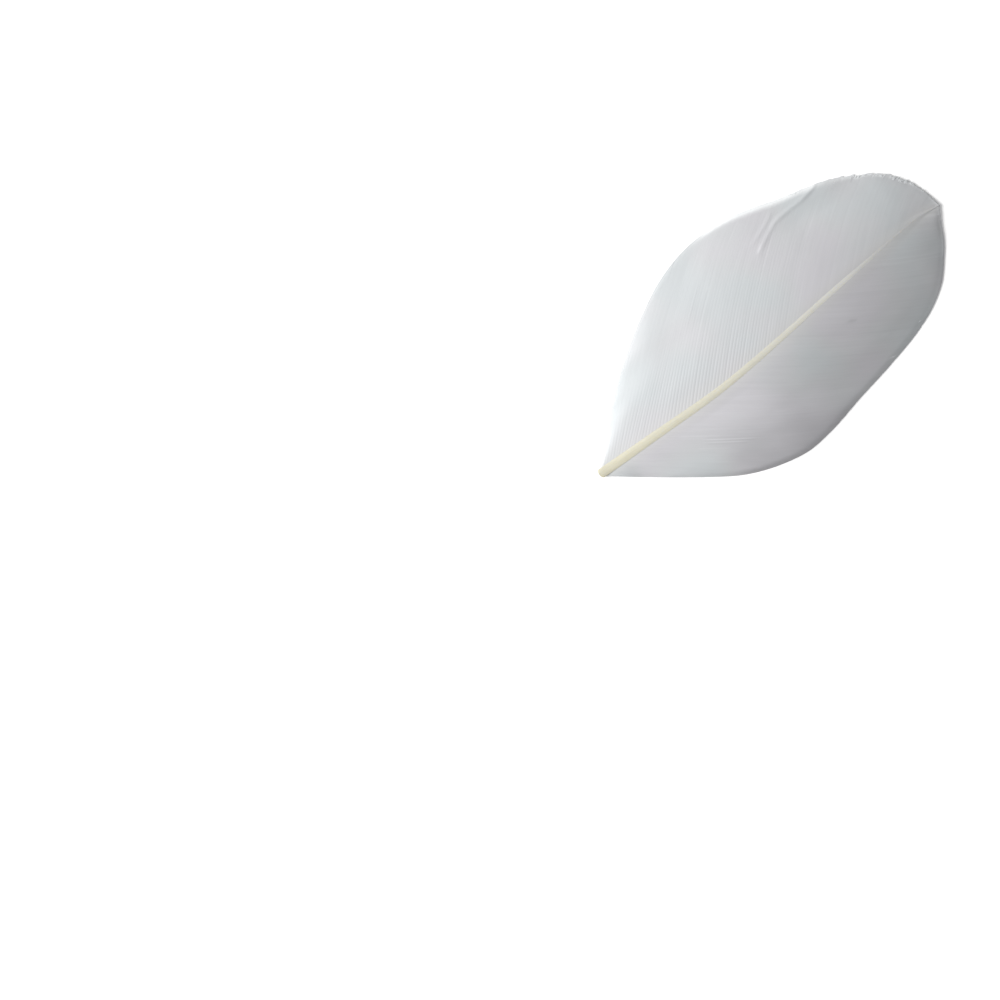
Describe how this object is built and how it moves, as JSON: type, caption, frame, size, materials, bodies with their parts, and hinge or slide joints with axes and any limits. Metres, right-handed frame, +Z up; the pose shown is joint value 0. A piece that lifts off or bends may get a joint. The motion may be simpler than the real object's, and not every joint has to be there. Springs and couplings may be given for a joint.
{
  "type": "trimmed goose feather",
  "caption": "White goose body feather trimmed to a petal outline, an arched vane on a tapering shaft, lying with its convex side up.",
  "frame": {"origin": "middle of the footprint, on the surface that the feather rests on", "axes": "+Y along the feather from the cut quill to the tip, +X towards the narrower vane, +Z up through the convex side"},
  "size_m": [0.0312, 0.0578, 0.0053],
  "materials": {
    "vane": "matte barbs with a soft sheen",
    "quill": "satin cream keratin"
  },
  "bodies": {
    "root": {"feather": "vane"}
  },
  "joints": []
}
